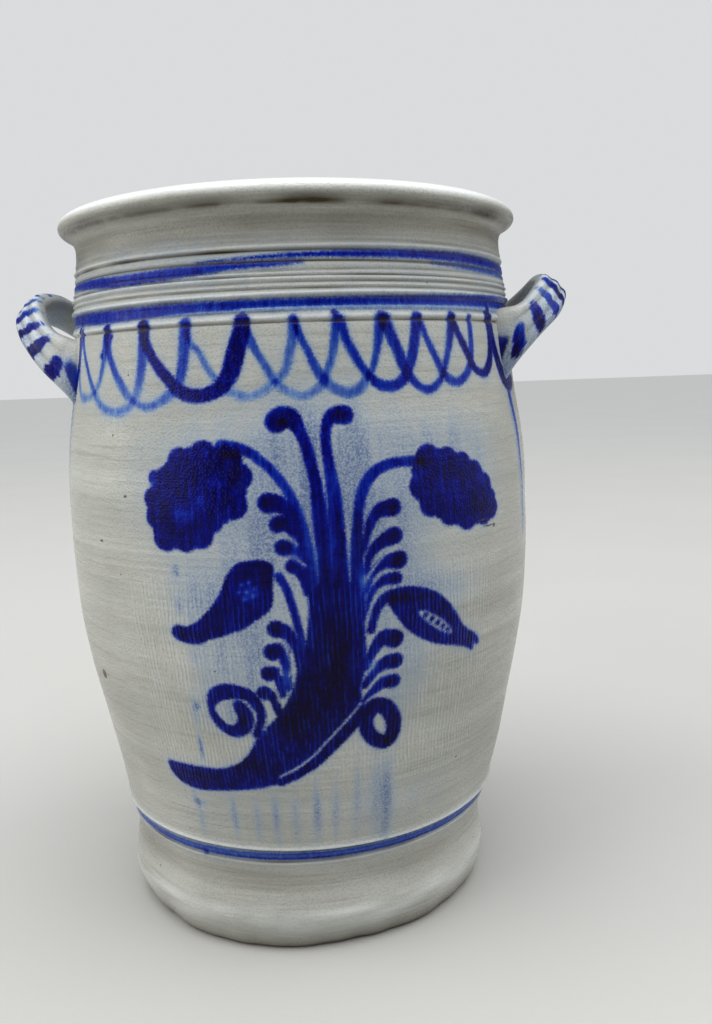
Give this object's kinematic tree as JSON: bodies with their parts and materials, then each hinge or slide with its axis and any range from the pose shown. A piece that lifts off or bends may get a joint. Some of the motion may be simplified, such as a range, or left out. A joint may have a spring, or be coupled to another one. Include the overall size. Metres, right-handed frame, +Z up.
{
  "type": "fermenting crock",
  "caption": "Tall open stoneware pot with a rolled rim and ear handles, holding a slatted wooden follower under half-moon weights.",
  "frame": {"origin": "middle of the foot, on the surface the pot stands on", "axes": "+Z up along the pot's axis, the handles at +X and -X, the painted front faces -Y"},
  "size_m": [0.3828, 0.3174, 0.462],
  "materials": {
    "salt_glazed_stoneware": "salt glaze with cobalt painting",
    "follower_wood": "bare, scrubbed",
    "weight_stoneware": "matt"
  },
  "bodies": {
    "crock": {"crock_body": "salt_glazed_stoneware", "left_handle": "salt_glazed_stoneware", "right_handle": "salt_glazed_stoneware"},
    "follower": {"follower_plank_1": "follower_wood", "follower_plank_2": "follower_wood", "follower_plank_3": "follower_wood", "follower_plank_4": "follower_wood", "follower_plank_5": "follower_wood", "follower_batten_front": "follower_wood", "follower_batten_rear": "follower_wood", "follower_pegs": "follower_wood"},
    "left_weight": {"weight_left": "weight_stoneware"},
    "right_weight": {"weight_right": "weight_stoneware"}
  },
  "joints": [
    {"name": "follower_lift", "type": "slide", "parent": "crock", "child": "follower", "axis": [0, 0, 1], "range_m": [0, 0.4]},
    {"name": "left_weight_lift", "type": "slide", "parent": "follower", "child": "left_weight", "axis": [0, 0, 1], "range_m": [0, 0.36]},
    {"name": "right_weight_lift", "type": "slide", "parent": "follower", "child": "right_weight", "axis": [0, 0, 1], "range_m": [0, 0.36]}
  ]
}
